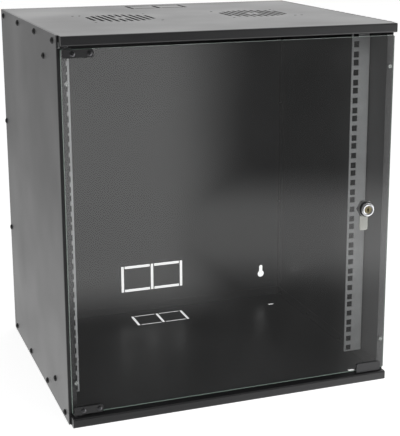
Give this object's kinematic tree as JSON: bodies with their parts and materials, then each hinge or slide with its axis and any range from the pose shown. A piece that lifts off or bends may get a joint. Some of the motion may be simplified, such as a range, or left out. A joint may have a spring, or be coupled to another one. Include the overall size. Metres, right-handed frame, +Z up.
{
  "type": "wall mount network cabinet",
  "caption": "Sheet-steel wall cabinet for 19-inch equipment with a full-width hinged glass door, cam lock, rack rails, round fan grilles and cable knock-outs.",
  "frame": {"origin": "centre of the underside, mid-width and mid-depth", "axes": "+Z up; +Y from the glass door towards the wall; +X to the right when facing the door, the lock side"},
  "size_m": [0.5216, 0.44, 0.57],
  "materials": {
    "powder_black": "fine-textured black powder coat",
    "rail_zinc": "galvanised sheet steel, dull",
    "screw_black": "black oxide, satin",
    "fastener_zinc": "bright zinc plate",
    "bush_black": "black nylon",
    "door_glass": "clear toughened glass with greenish edges",
    "hinge_black": "black satin paint",
    "pad_rubber": "black rubber",
    "bumper_clear": "clear soft polyurethane",
    "clip_black": "black moulded plastic",
    "lock_chrome": "polished chrome plate",
    "nut_black": "black oxide",
    "plug_brass": "darkened brass key cylinder",
    "cam_zinc": "zinc-plated steel"
  },
  "bodies": {
    "cabinet": {"bottom_panel": "powder_black", "top_panel": "powder_black", "rear_panel": "powder_black", "left_side_panel": "powder_black", "right_side_panel": "powder_black", "left_rail": "rail_zinc", "right_rail": "rail_zinc", "left_panel_screws": "screw_black", "right_panel_screws": "screw_black", "left_rail_screws": "screw_black", "right_rail_screws": "screw_black", "left_rail_nuts": "fastener_zinc", "right_rail_nuts": "fastener_zinc", "upper_hinge_bush": "bush_black", "lower_hinge_bush": "bush_black"},
    "door": {"glass_door": "door_glass", "upper_hinge_front_plate": "hinge_black", "lower_hinge_front_plate": "hinge_black", "upper_hinge_bracket": "hinge_black", "lower_hinge_bracket": "hinge_black", "upper_hinge_pads": "pad_rubber", "lower_hinge_pads": "pad_rubber", "upper_hinge_screws": "screw_black", "lower_hinge_screws": "screw_black", "door_bumpers": "bumper_clear", "door_corner_clip": "clip_black", "lock_body": "lock_chrome", "lock_gasket": "pad_rubber", "lock_washer": "fastener_zinc", "lock_nut": "nut_black"},
    "lock_plug": {"lock_plug": "plug_brass", "lock_cam": "cam_zinc", "cam_screw": "fastener_zinc"}
  },
  "joints": [
    {"name": "door_hinge", "type": "hinge", "parent": "cabinet", "child": "door", "pos_m": [-0.249, -0.2115, 0], "axis": [0, 0, -1], "range_deg": [0, 180]},
    {"name": "lock_turn", "type": "hinge", "parent": "door", "child": "lock_plug", "pos_m": [0.216, -0.214, 0.285], "axis": [0, -1, 0], "range_deg": [0, 90]}
  ]
}
